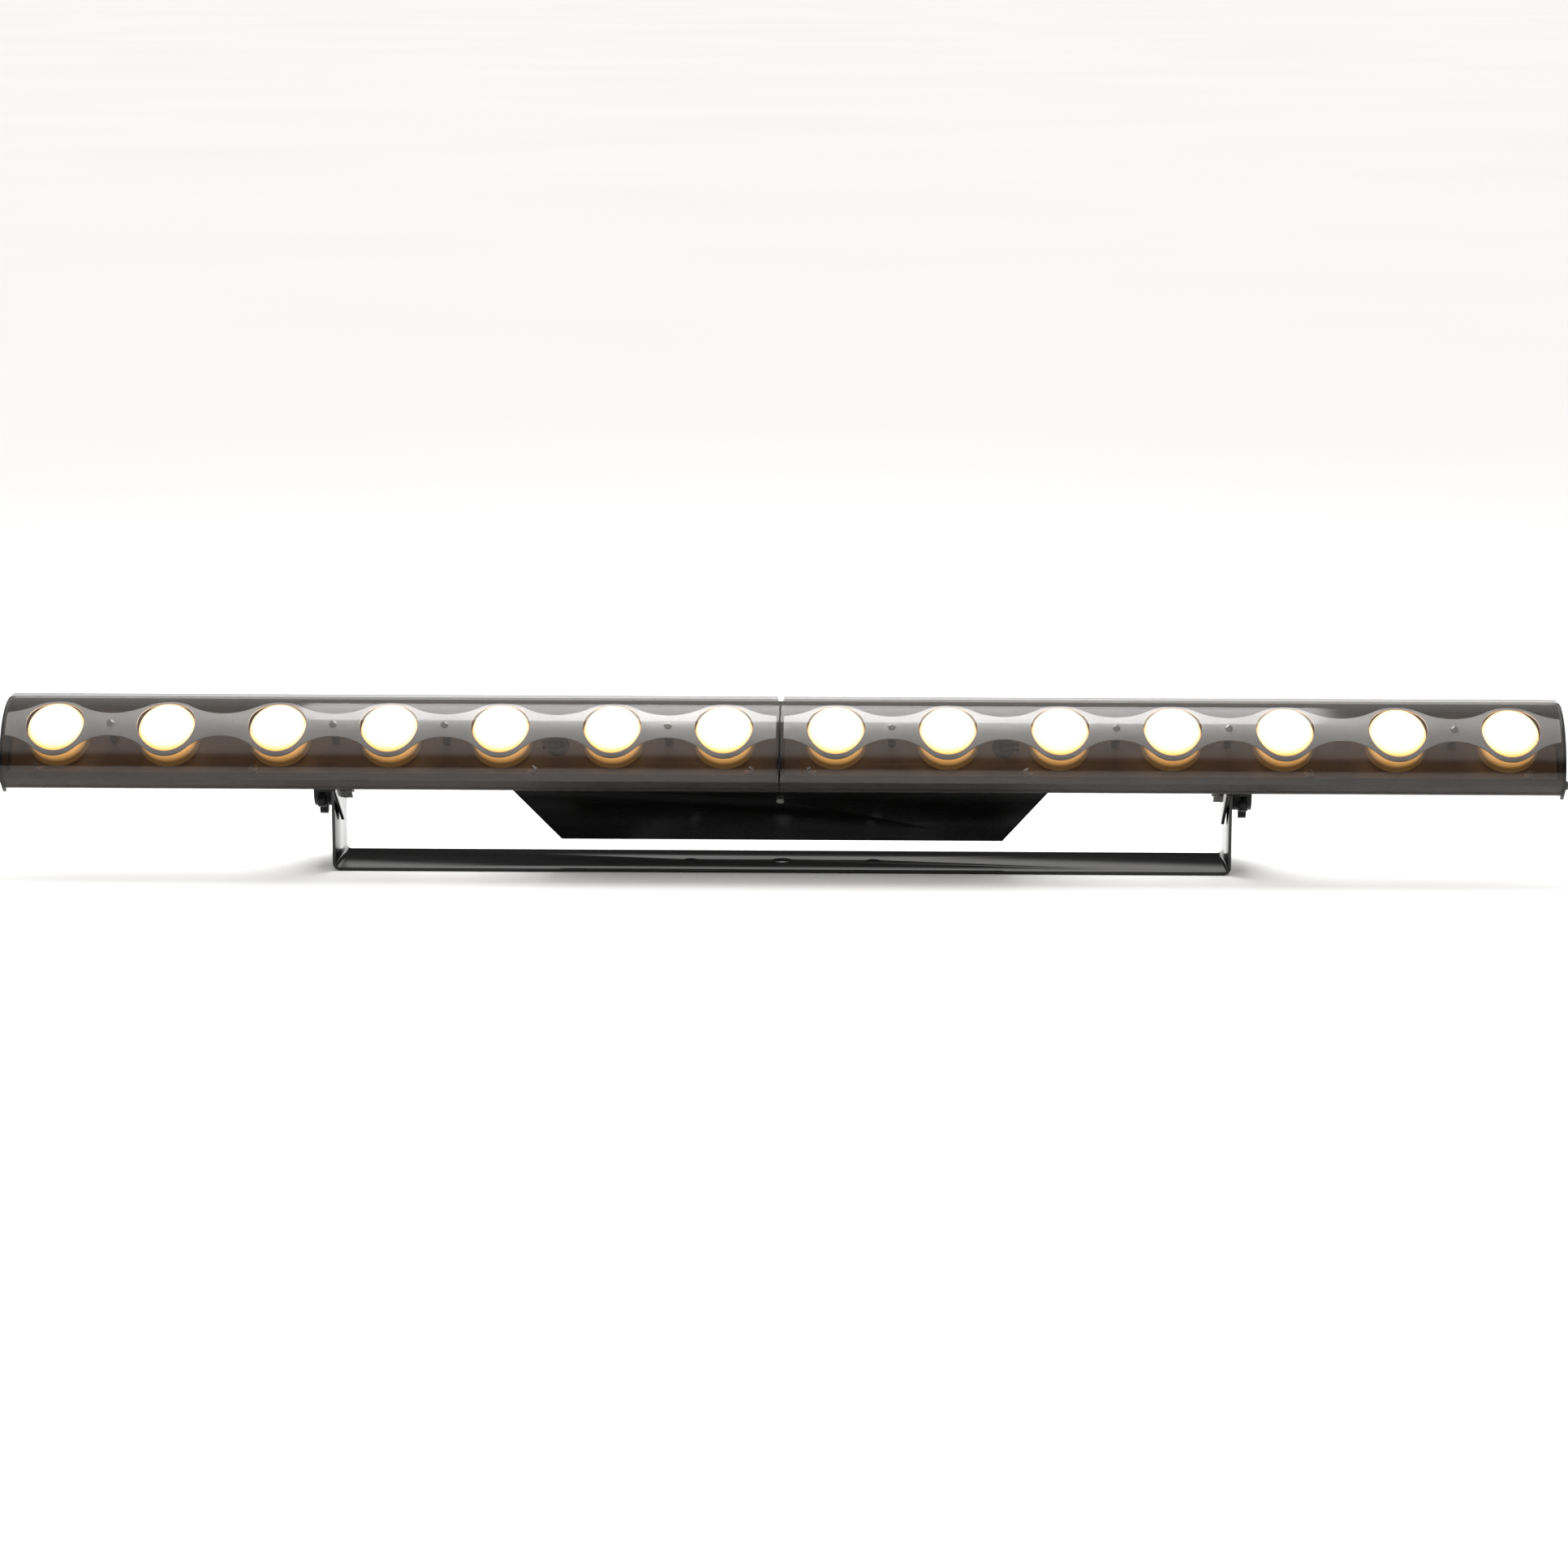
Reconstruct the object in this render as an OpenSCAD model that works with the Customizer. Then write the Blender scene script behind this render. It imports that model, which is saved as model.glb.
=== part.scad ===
// Led strip batten: a metre-long bar of round lenses on a U-shaped tilting yoke.
// World frame: +X along the bar, -Y towards the audience, +Z up. The origin is the
// centre of the yoke's clamp hole, on the underside of the crossbar.
// Everything on the bar is drawn aimed straight up, with X along the bar, Y across the
// face and Z out of the face, zero at the covers' lower edges; on_bar() then tilts it.

/* [Bar] */
// Length of the covers and housing, without the end plates
bar_length = 1000; // [996:1:1008]
// Width across the covers
bar_width = 66; // [65:0.5:68]
// Height of the covers' crown above their edges
crown = 15; // [14:0.5:17]
// Wall of the covers
cover_wall = 1.6; // [1.2:0.1:1.8]
// Depth of the covers' straight lips
lip_depth = 11.5; // [11:0.5:12]
// Angle of the beam above horizontal at rest
aim = 43; // [20:1:90]

/* [Lenses] */
// Distance from lens to lens
lens_pitch = 72; // [71:0.5:72]
// Lenses in each half of the bar
lenses_per_half = 7; // [6:1:7]
// Diameter of a lens
lens_d = 36; // [34:0.5:36]
// Offset of the lens row from the middle of the face
row_offset = 2.5; // [0:0.5:3]

/* [Power box] */
// Half length of the box where it meets the housing
box_front_half = 174; // [170:1:180]
// Half length of the box at its back
box_back_half = 144.5; // [142:0.5:150]
// Width of the box
box_width = 56; // [55:0.5:57]

/* [Yoke] */
// Outer width of the yoke
yoke_width = 585; // [570:1:600]
// Width of the yoke's strip
strip_width = 62; // [58:1:64]
// Thickness of the yoke's strip
strip_t = 2; // [1.5:0.1:2.5]
// Height of the tilt axis above the crossbar's underside
pivot_z = 50; // [50:0.5:60]
// Radius of the clamp hole
clamp_r = 6.5; // [5:0.5:7]

/* [Hidden] */
$fn = 48;
eps = 0.01;
half_w = bar_width / 2;
half_l = bar_length / 2;
arch_r = (half_w * half_w + crown * crown) / (2 * crown);
arch_z = crown - arch_r;
pivot_back = 60;

// housing
back_z = -16;
base_z = -13.5;
floor_z = -11;
wall_top = -3;
housing_half = half_w - cover_wall - 0.2;
wall_t = 3;
rib_count = 7;
rib_pitch = 9;
seam_half = 0.6;
divider_half = 2;
plate_t = 2.3;
plate_arch_r = arch_r - 2.4;
port_y = 28.4;
port_z = -6.1;
port_r = 1.25;

// boards and optics
board_t = 1.6;
board_top = floor_z + board_t;
board_half = 27.9;
board_x0 = 2.6;
board_x1 = half_l - 1.5;
lens_r = lens_d / 2;
lens_rim_z = 6.5;
lens_apex_z = 12.4;
lens_foot_z = -2;
holder_top = 4.6;
band_outer_r = arch_r - 3.4;
band_t = 0.8;
bulge_r = 21.5;
waist_half = 8.75;
hole_r = 18.7;
lens_xs = [for (i = [0 : lenses_per_half - 1]) lens_pitch * (i + 0.5)];
post_xs = [for (k = [1, 3, 4, 6]) lens_pitch * k];
board_screws_at = [[20, -18.5], [160, -18.5], [340, -18.5], [480, -18.5],
    [20, 21], [160, 21], [340, 21], [486, 21]];
feed_x = 144;
feed_r = 6;

// box
box_half = box_width / 2;
sheet_t = 1.2;
box_back = -79;
panel_t = 1.5;
panel_in = box_back + panel_t;
end_slope = (box_front_half - box_back_half) / (back_z - box_back);
flange_w = 8;
panel_half_x = box_back_half - 2;
panel_half_y = box_half - sheet_t - 0.2;
panel_screws = [for (x = [-134, -48, 48, 134]) for (y = [-22.5, 22.5]) [x, y]];
foot_screws = [for (x = [-166, 166]) for (y = [-18, 18]) [x, y]];
side_screw_z = -29;
supply_back = -52;
terminal_x = 50;
terminal_len = 12;
terminal_face = terminal_x + terminal_len;
wire_entry_z = -34;
circuit_z = -71.4;

// things on the back panel: position along X and across the face
inlet_x = -112;
outlet_x = -78;
sig_in_x = 78;
sig_out_x = 112;
socket_y = 2;
fuse_pos = [50, 0];
display_pos = [-18, 7];
button_xs = [-36, -24, -12, 0];
button_y = -9;
power_r = 12;
power_top = -58;
signal_r = 10;
signal_top = -62;
fuse_top = -55;
plug_screws = [[9.7, 12.2], [-9.7, -12.2]];
connector_xs = [inlet_x, outlet_x, sig_in_x, sig_out_x];

// yoke and pivot
yoke_half = yoke_width / 2;
strip_half = strip_width / 2;
arm_in = yoke_half - strip_t;
bend_r = 5;
washer_t = 1.5;
face_gap = 0.05;
ear_t = 2;
ear_x1 = arm_in - washer_t;
ear_x0 = ear_x1 - ear_t;
bore_r = 4;
stud_r = 3.95;
nut_len = 5;
knob_in = yoke_half + washer_t + face_gap;
knob_len = 12.5;
side_hole_x = 60;
side_hole_r = 4.5;

// ---------- helpers ----------

module on_bar() {
    translate([0, 0, pivot_z]) rotate([90 - aim, 0, 0]) translate([0, 0, pivot_back]) children();
}

// extrudes a (Y, Z) outline along X between two stations
module along_x(x0, x1) {
    translate([x0, 0, 0]) rotate([90, 0, 90]) linear_extrude(x1 - x0) children();
}

module both_ends() {
    children();
    mirror([1, 0, 0]) children();
}

// straight round bar along X between two stations
module rod_x(x0, x1, r) {
    translate([x0, 0, 0]) rotate([0, 90, 0]) cylinder(h = x1 - x0, r = r);
}

// pan-head screw whose head sits on z = 0 and whose shank runs down
module pan_screw(head_r, head_h, shank_r, shank_l) {
    difference() {
        cylinder(h = head_h, r = head_r);
        for (a = [0, 90]) rotate(a) translate([-head_r * 0.55, -0.35, head_h * 0.45])
            cube([head_r * 1.1, 0.7, head_h]);
    }
    translate([0, 0, -shank_l]) cylinder(h = shank_l + eps, r = shank_r);
}

// ring between two radii and two heights
module ring(r_out, r_in, z0, z1) {
    translate([0, 0, z0]) difference() {
        cylinder(h = z1 - z0, r = r_out);
        translate([0, 0, -1]) cylinder(h = z1 - z0 + 2, r = r_in);
    }
}

// round wire through a list of points
module wire(points, r) {
    for (i = [0 : len(points) - 2]) {
        d = points[i + 1] - points[i];
        l = norm(d);
        translate(points[i]) rotate([0, acos(d[2] / l), atan2(d[1], d[0])])
            cylinder(h = l, r = r, $fn = 16);
    }
    for (i = [1 : len(points) - 2]) translate(points[i]) sphere(r = r + 0.05, $fn = 16);
}

// ---------- yoke body ----------

module strip_outline(grow) {
    // outer outline of the bent strip in (X, Z), shrunk inwards by grow
    w = yoke_half - grow;
    r = bend_r - grow;
    translate([-w + r, grow]) square([2 * (w - r), 10]);
    translate([-w, grow + r]) square([2 * w, pivot_z + strip_half]);
    for (s = [-1, 1]) translate([s * (w - r), grow + r]) circle(r = r);
}

module arm_profile() {
    // side view of an arm in (Y, Z): straight sides and a round end about the tilt axis
    translate([-strip_half, -1]) square([strip_width, pivot_z + 1]);
    translate([0, pivot_z]) circle(r = strip_half, $fn = 96);
}

module yoke() color("black") difference() {
    intersection() {
        rotate([90, 0, 0]) linear_extrude(2 * strip_width, center = true) difference() {
            strip_outline(0);
            strip_outline(strip_t);
        }
        along_x(-yoke_half - 1, yoke_half + 1) arm_profile();
    }
    translate([0, 0, -1]) cylinder(h = strip_t + 2, r = clamp_r);
    for (s = [-1, 1]) translate([s * side_hole_x, 0, -1]) cylinder(h = strip_t + 2, r = side_hole_r);
    translate([0, 0, pivot_z]) both_ends() rod_x(arm_in - 1, yoke_half + 1, bore_r);
}

module pivot_ring(x0, x1, r_out) {
    translate([0, 0, pivot_z]) both_ends() difference() {
        rod_x(x0, x1, r_out);
        rod_x(x0 - 1, x1 + 1, bore_r);
    }
}

module friction_washers() color("dimgray") pivot_ring(ear_x1, arm_in - face_gap, 14);

module knob_washers() color("silver") pivot_ring(yoke_half, knob_in - face_gap, 11);

// ---------- knobs and studs ----------

module knob() color("black") translate([0, 0, pivot_z]) {
    boss_r = 12.5;
    lobe_r = 5;
    lobes = 6;
    difference() {
        union() {
            rod_x(knob_in, knob_in + knob_len, boss_r);
            translate([knob_in + 4.5, 0, 0]) rotate([0, 90, 0]) for (i = [0 : lobes - 1])
                rotate(i * 360 / lobes + 180) translate([boss_r + 0.5, 0, 0])
                    cylinder(h = 5, r = lobe_r);
        }
        rod_x(knob_in - 1, knob_in + knob_len - 3, bore_r);
    }
}

module knob_left() mirror([1, 0, 0]) knob();
module knob_right() knob();

module stud() color("silver") translate([0, 0, pivot_z]) rod_x(ear_x0 - nut_len - 1,
    knob_in + knob_len - 3, stud_r);

module stud_left() mirror([1, 0, 0]) stud();
module stud_right() stud();

// ---------- bar: housing, ends and covers ----------

module housing_section() difference() {
    step_w = 5.6;
    union() {
        translate([-housing_half, base_z]) square([2 * housing_half, floor_z - base_z]);
        for (i = [0 : rib_count - 1])
            translate([(i - (rib_count - 1) / 2) * rib_pitch - 0.9, back_z]) square([1.8, 3]);
        for (s = [-1, 1]) {
            translate([s > 0 ? housing_half - wall_t : -housing_half, base_z])
                square([wall_t, wall_top - base_z]);
            translate([s > 0 ? housing_half - step_w : -housing_half, board_top + 0.1])
                square([step_w, wall_top - board_top - 0.1]);
        }
    }
    for (s = [-1, 1]) {
        // groove that takes the bead of the cover's lip
        translate([s > 0 ? housing_half - 1.2 : -housing_half - 1, -lip_depth - 0.2]) square([2.2, 1.9]);
        translate([s * port_y, port_z]) circle(r = port_r);
    }
}

module housing() color("black") on_bar() difference() {
    along_x(-half_l, half_l) housing_section();
    both_ends() {
        translate([feed_x, 0, back_z - 1]) cylinder(h = 8, r = feed_r);
        for (p = board_screws_at) translate([p[0], p[1], base_z + 0.4]) cylinder(h = 4, r = 1.6);
    }
    for (p = foot_screws) translate([p[0], p[1], back_z - 1]) cylinder(h = 8, r = 1.6);
}

module plate_outline() {
    intersection() {
        translate([-half_w, back_z]) square([bar_width, 40]);
        union() {
            translate([0, arch_z]) circle(r = plate_arch_r, $fn = 180);
            translate([-half_w, back_z]) square([bar_width, -back_z - 4]);
        }
    }
}

module end_plate() color("black") on_bar() difference() {
    along_x(half_l, half_l + plate_t) plate_outline();
    for (s = [-1, 1]) translate([0, s * port_y, port_z]) rod_x(half_l - 1, half_l + plate_t + 1, 1.7);
}

module end_plate_left() mirror([1, 0, 0]) end_plate();
module end_plate_right() end_plate();

module end_plate_screws() color("dimgray") on_bar() both_ends() for (s = [-1, 1])
    translate([half_l + plate_t, s * port_y, port_z]) rotate([0, 90, 0])
        pan_screw(2.9, 1.7, 1.2, 8);

module centre_divider() color("black") on_bar() along_x(-divider_half, divider_half)
    intersection() {
        translate([0, arch_z]) circle(r = plate_arch_r, $fn = 180);
        translate([-25, floor_z]) square([50, 40]);
    }

module cover_section() {
    inner_r = arch_r - cover_wall;
    difference() {
        union() {
            intersection() {
                translate([0, arch_z]) circle(r = arch_r, $fn = 240);
                translate([-half_w, 0]) square([bar_width, crown + 1]);
            }
            translate([-half_w, -lip_depth]) square([bar_width, lip_depth + eps]);
        }
        intersection() {
            translate([0, arch_z]) circle(r = inner_r, $fn = 240);
            translate([-half_w + cover_wall, -4]) square([bar_width - 2 * cover_wall, 40]);
        }
        translate([-half_w + cover_wall, -lip_depth - 1])
            square([bar_width - 2 * cover_wall, lip_depth - 1]);
    }
    for (s = [-1, 1]) translate([s > 0 ? half_w - cover_wall - 1 : -half_w + cover_wall - eps, -lip_depth])
        square([1 + eps, 1.4]);
}

module cover() color("dimgray", 0.45) on_bar() difference() {
    along_x(seam_half, half_l) cover_section();
    // small chamfer at the seam's upper edge
    translate([seam_half, half_w - 12, -lip_depth - 1]) linear_extrude(30)
        polygon([[-1, 0], [0, 0], [1.6, 13], [-1, 13]]);
}

module cover_left() mirror([1, 0, 0]) cover();
module cover_right() cover();

// ---------- bar: boards, lenses and trim ----------

module half_board() color("#1a1a1a") on_bar() difference() {
    translate([board_x0, -board_half, floor_z])
        cube([board_x1 - board_x0, 2 * board_half, board_t]);
    for (p = board_screws_at) translate([p[0], p[1], floor_z - 1]) cylinder(h = 4, r = 1.7);
    translate([feed_x, 0, floor_z - 1]) cylinder(h = 4, r = feed_r);
}

module led_board_left() mirror([1, 0, 0]) half_board();
module led_board_right() half_board();

module board_screws() color("silver") on_bar() both_ends() for (p = board_screws_at)
    translate([p[0], p[1], board_top]) pan_screw(3.3, 1.8, 1.5, 3.4);

module at_lenses() {
    both_ends() for (x = lens_xs) translate([x, row_offset, 0]) children();
}

module emitters() color("gold") on_bar() at_lenses() {
    translate([-3.5, -3.5, board_top]) cube([7, 7, 1]);
    translate([0, 0, board_top + 1 - eps]) cylinder(h = 0.8, r = 2.6);
}

module lens_holders() color("#202020") on_bar() at_lenses() {
    difference() {
        union() {
            translate([0, 0, board_top]) cylinder(h = holder_top - board_top, r = lens_r + 0.6);
            translate([0, 0, board_top]) cylinder(h = 1.2, r = lens_r + 1.6);
        }
        translate([0, 0, board_top - 1]) cylinder(h = lens_foot_z - board_top + 1 + eps, r = 13);
        translate([0, 0, lens_foot_z]) cylinder(h = 20, r = lens_r - 0.4);
    }
}

module lenses() color("lightyellow") on_bar() at_lenses() {
    cap_h = lens_apex_z - lens_rim_z;
    rim_r = lens_r - 0.1;
    body_r = lens_r - 0.5;
    dome_r = (rim_r * rim_r + cap_h * cap_h) / (2 * cap_h);
    seat_z = holder_top + 0.02;
    translate([0, 0, lens_foot_z]) cylinder(h = seat_z + eps - lens_foot_z, r = body_r);
    translate([0, 0, seat_z]) cylinder(h = lens_rim_z - seat_z, r = rim_r);
    intersection() {
        translate([0, 0, lens_apex_z - dome_r]) sphere(r = dome_r, $fn = 96);
        translate([0, 0, lens_rim_z - eps]) cylinder(h = cap_h + 1, r = rim_r);
    }
}

// half width of the trim band at station x: a circle round each lens, a hollow between
gap = lens_pitch / 2;
flare_r = (gap * gap + waist_half * waist_half - bulge_r * bulge_r) / (2 * (bulge_r - waist_half));
touch_x = gap * bulge_r / (bulge_r + flare_r);
function from_lens(x) = abs((x % lens_pitch) - gap);
function band_half(x) = from_lens(x) < touch_x
    ? sqrt(bulge_r * bulge_r - pow(from_lens(x), 2))
    : waist_half + flare_r - sqrt(flare_r * flare_r - pow(gap - from_lens(x), 2));

module band_outline() {
    steps = 200;
    x0 = divider_half + 0.4;
    x1 = half_l - 0.4;
    xs = [for (i = [0 : steps]) x0 + (x1 - x0) * i / steps];
    difference() {
        polygon([for (x = xs) [x, band_half(x)], for (i = [steps : -1 : 0]) [xs[i], -band_half(xs[i])]]);
        for (x = lens_xs) translate([x, 0]) circle(r = hole_r, $fn = 96);
        for (x = post_xs) translate([x, 0]) circle(r = 1.4);
    }
}

module trim_band() color("silver") on_bar() intersection() {
    along_x(0, half_l) translate([0, arch_z]) difference() {
        circle(r = band_outer_r, $fn = 240);
        circle(r = band_outer_r - band_t, $fn = 240);
    }
    translate([0, row_offset, 0]) linear_extrude(20) band_outline();
}

module trim_band_left() mirror([1, 0, 0]) trim_band();
module trim_band_right() trim_band();

function band_top(y) = sqrt(band_outer_r * band_outer_r - y * y) + arch_z;

module band_posts() color("#303030") on_bar() both_ends() for (x = post_xs)
    translate([x, row_offset, board_top]) difference() {
        cylinder(h = band_top(row_offset + 3) - band_t - board_top - 0.05, r = 2.6);
        translate([0, 0, 10]) cylinder(h = 20, r = 1.15);
    }

module band_screws() color("silver") on_bar() both_ends() for (x = post_xs)
    translate([x, row_offset, band_top(max(0, row_offset - 2.5)) + 0.02]) pan_screw(2.5, 0.9, 1.1, 6);

// ---------- bar: power box ----------

module box_prism(inset, z0, z1) {
    x0 = box_front_half - end_slope * (back_z - z0) - inset;
    x1 = box_front_half - end_slope * (back_z - z1) - inset;
    y = box_half - inset;
    translate([0, y, 0]) rotate([90, 0, 0]) linear_extrude(2 * y)
        polygon([[-x0, z0], [x0, z0], [x1, z1], [-x1, z1]]);
}

module power_box() color("#101010") on_bar() difference() {
    union() {
        difference() {
            box_prism(0, box_back, back_z);
            box_prism(sheet_t, box_back - 1, back_z + 1);
        }
        // return flanges that carry the back panel
        for (s = [-1, 1]) translate([-panel_half_x + 1, s > 0 ? box_half - flange_w : -box_half + eps,
            panel_in]) cube([2 * panel_half_x - 2, flange_w - eps, sheet_t]);
        // feet that bolt to the housing
        for (s = [-1, 1]) translate([s > 0 ? 150 : -box_front_half + 1, -box_half + eps, back_z - sheet_t])
            cube([box_front_half - 151, box_width - 2 * eps, sheet_t]);
    }
    for (p = panel_screws) translate([p[0], p[1], panel_in - 1]) cylinder(h = 4, r = 1.5);
    for (p = foot_screws) translate([p[0], p[1], back_z - 3]) cylinder(h = 6, r = 1.7);
    for (s = [-1, 1]) translate([0, s * box_half, side_screw_z]) rotate([90, 0, 0])
        cylinder(h = 6, r = 1.6, center = true);
}

module panel_round(pos, r) translate([pos[0], pos[1], box_back - 1]) cylinder(h = panel_t + 2, r = r);

module back_panel() color("#161616") on_bar() difference() {
    translate([-panel_half_x, -panel_half_y, box_back])
        cube([2 * panel_half_x, 2 * panel_half_y, panel_t]);
    for (p = panel_screws) panel_round(p, 1.7);
    for (x = [inlet_x, outlet_x]) panel_round([x, socket_y], power_r + 0.3);
    for (x = [sig_in_x, sig_out_x]) panel_round([x, socket_y], signal_r + 1.3);
    for (x = connector_xs, p = plug_screws) panel_round([x + p[0], socket_y + p[1]], 1.6);
    for (x = button_xs) panel_round([x, button_y], 3.7);
    panel_round(fuse_pos, 6.3);
    translate([display_pos[0] - 16.2, display_pos[1] - 7.2, box_back - 1]) cube([32.4, 14.4, 4]);
}

module panel_screws() color("silver") on_bar() for (p = panel_screws)
    translate([p[0], p[1], box_back]) rotate([180, 0, 0]) pan_screw(2.6, 1.5, 1.4, 5);

module box_side_screws() color("silver") on_bar() for (s = [-1, 1])
    translate([0, s * box_half, side_screw_z]) rotate([-s * 90, 0, 0]) pan_screw(2.6, 1.2, 1.5, 4);

module box_foot_screws() color("silver") on_bar() for (p = foot_screws)
    translate([p[0], p[1], back_z - sheet_t]) rotate([180, 0, 0]) pan_screw(2.8, 1.8, 1.5, 4.6);

module power_supply() color("lightgray") on_bar() {
    difference() {
        translate([-100, -21, supply_back]) cube([100 + terminal_x, 42, 30]);
        for (i = [0 : 11]) translate([-88 + i * 11, -13, supply_back - 1]) cube([5, 26, 2]);
    }
    for (x = [-90, 40]) translate([x, -14, -22 - eps]) cube([8, 28, 22 + back_z + eps]);
}

module supply_terminals() color("darkgreen") on_bar() translate([terminal_x, -16, -40]) difference() {
    cube([terminal_len, 32, 12]);
    for (i = [0 : 4]) translate([4, 1.8 + i * 6.1, 8]) cube([10, 4.2, 5]);
}

module control_board() color("darkgreen") on_bar() {
    board_back = circuit_z + 1.6 - eps;
    translate([-44, -18, circuit_z]) cube([86, 36, 1.6]);
    // four posts that stand on the back panel
    for (p = [[-41, -15.5], [37, -15.5], [37, 15], [-41, 15]]) translate([p[0], p[1], panel_in])
        cylinder(h = circuit_z - panel_in + eps, r = 1.4);
    translate([4, -10, board_back]) cube([12, 12, 1.4]);
    translate([20, -12, board_back]) cube([10, 14, 9]);
    for (x = button_xs) translate([x - 3, button_y - 3, circuit_z - 1.6]) cube([6, 6, 1.6 + eps]);
}

module display_module() color("#202020") on_bar() translate([display_pos[0] - 15, display_pos[1] - 6.5, -77.2])
    cube([30, 13, 5.8]);

module display_window() color("darkred", 0.7) on_bar() translate([display_pos[0] - 16, display_pos[1] - 7, box_back - 0.3])
    cube([32, 14, panel_t + 0.2]);

module button_at(i) color("dimgray") on_bar() translate([button_xs[i], button_y, 0]) {
    translate([0, 0, box_back - 1.6]) cylinder(h = 3.6, r = 3.4);
    translate([0, 0, panel_in + 0.3]) cylinder(h = 1, r = 4.6);
    translate([0, 0, panel_in + 1]) cylinder(h = 2.2, r = 1.6);
}

module button_menu() button_at(0);
module button_down() button_at(1);
module button_up() button_at(2);
module button_enter() button_at(3);

// ---------- bar: connectors and fuse ----------

// square flange outside the panel with its two fixing holes
module socket_flange(r) {
    difference() {
        translate([-13, -15.5, box_back - 1.6]) cube([26, 31, 1.6]);
        translate([0, 0, box_back - 2]) cylinder(h = 3, r = r);
        for (p = plug_screws) translate([p[0], p[1], box_back - 2]) cylinder(h = 3, r = 1.6);
    }
}

module power_socket(tint) color(tint) {
    socket_flange(power_r - 1.4);
    ring(power_r, power_r - 1.4, box_back - 3.4, power_top);
    translate([0, 0, power_top - 2]) cylinder(h = 2, r = power_r);
    difference() {
        translate([0, 0, -67]) cylinder(h = 7 + eps, r = 6.2);
        for (a = [90, 210, 330]) rotate(a) translate([3.6, 0, -68]) cylinder(h = 5, r = 0.9);
    }
}

module power_inlet() on_bar() translate([inlet_x, socket_y, 0]) power_socket("steelblue");
module power_outlet() on_bar() translate([outlet_x, socket_y, 0]) power_socket("lightgray");

module signal_inlet() color("silver") on_bar() translate([sig_in_x, socket_y, 0]) {
    socket_flange(signal_r - 1);
    ring(signal_r, signal_r - 1, box_back - 0.2, signal_top);
    translate([0, 0, signal_top - 2]) cylinder(h = 2, r = signal_r);
    for (a = [30, 150, 270]) rotate(a) translate([4.6, 0, -69.5]) cylinder(h = 6, r = 1.2);
}

module signal_outlet() color("silver") on_bar() translate([sig_out_x, socket_y, 0]) difference() {
    front = box_back - 1.2;
    union() {
        socket_flange(signal_r - 0.5);
        translate([0, 0, front]) cylinder(h = signal_top - front, r = signal_r - eps);
    }
    for (a = [30, 150, 270]) rotate(a) translate([4.6, 0, box_back - 2]) cylinder(h = 10, r = 1.3);
    // slot the release tongue slides in
    translate([-3.2, 7.2, box_back - 4]) cube([6.4, 2.6, 8]);
}

module signal_latch() color("dimgray") on_bar() translate([sig_out_x, socket_y, 0])
    translate([-2.9, 7.5, box_back - 3.6]) cube([5.8, 2, 6]);

module connector_screws() color("dimgray") on_bar() for (x = connector_xs, p = plug_screws)
    translate([x + p[0], socket_y + p[1], box_back - 1.6]) rotate([180, 0, 0])
        pan_screw(2.3, 1.3, 1.4, 5.5);

module fuse_holder() color("#101010") on_bar() translate([fuse_pos[0], fuse_pos[1], 0]) {
    ring(8.5, 5.2, box_back - 1.5, box_back);
    ring(6.1, 5.2, box_back - 0.2, fuse_top - 1);
    translate([0, 0, fuse_top - 2]) cylinder(h = 2, r = 6.1);
}

module fuse_link() color("silver") on_bar() translate([fuse_pos[0], fuse_pos[1], -75])
    cylinder(h = fuse_top - 2 + 75, r = 2.5);

module fuse_cap() color("dimgray") on_bar() translate([fuse_pos[0], fuse_pos[1], 0]) difference() {
    union() {
        translate([0, 0, box_back - 6]) cylinder(h = 4.4, r = 7.2);
        translate([0, 0, box_back - 1.7]) cylinder(h = 5, r = 5.1);
    }
    translate([-5, -0.6, box_back - 7]) cube([10, 1.2, 2.4]);
}

// ---------- bar: safety eye, ears, nuts ----------

eye_x = -225;
eye_z = -34;

module safety_eye() color("silver") on_bar() difference() {
    union() {
        translate([eye_x - 1, -13, back_z - 2]) cube([24, 26, 2]);
        translate([eye_x - 1, -13, eye_z]) cube([2, 26, back_z - eye_z]);
        translate([0, 0, eye_z]) rod_x(eye_x - 1, eye_x + 1, 13);
    }
    translate([0, 0, eye_z]) rod_x(eye_x - 3, eye_x + 3, 6);
    for (s = [-1, 1]) translate([eye_x + 14, s * 8, back_z - 3]) cylinder(h = 4, r = 2.2);
}

module safety_eye_screws() color("dimgray") on_bar() for (s = [-1, 1])
    translate([eye_x + 14, s * 8, back_z - 2]) rotate([180, 0, 0]) pan_screw(3.6, 2.2, 1.9, 2);

module ear_outline() {
    tip_z = -64;
    tip_y = 14;
    tip_r = 8;
    difference() {
        union() {
            polygon([[-31, back_z], [31, back_z], [31, back_z - 2], [tip_y + tip_r, tip_z],
                [-tip_y - tip_r, tip_z], [-31, back_z - 2]]);
            for (s = [-1, 1]) translate([s * tip_y, tip_z]) circle(r = tip_r);
            translate([-tip_y, tip_z - tip_r]) square([2 * tip_y, 2 * tip_r]);
        }
        translate([0, -pivot_back]) circle(r = bore_r);
    }
}

module ear() color("black") on_bar() {
    along_x(ear_x0, ear_x1) ear_outline();
    difference() {
        translate([ear_x0 - 20, -26, back_z - ear_t]) cube([20 + eps, 52, ear_t]);
        for (s = [-1, 1]) translate([ear_x0 - 11, s * 17, back_z - 3]) cylinder(h = 4, r = 2.2);
    }
}

module ear_left() mirror([1, 0, 0]) ear();
module ear_right() ear();

module ear_screws() color("dimgray") on_bar() both_ends() for (s = [-1, 1])
    translate([ear_x0 - 11, s * 17, back_z - ear_t]) rotate([180, 0, 0]) pan_screw(3.8, 2.4, 2, 2);

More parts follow.
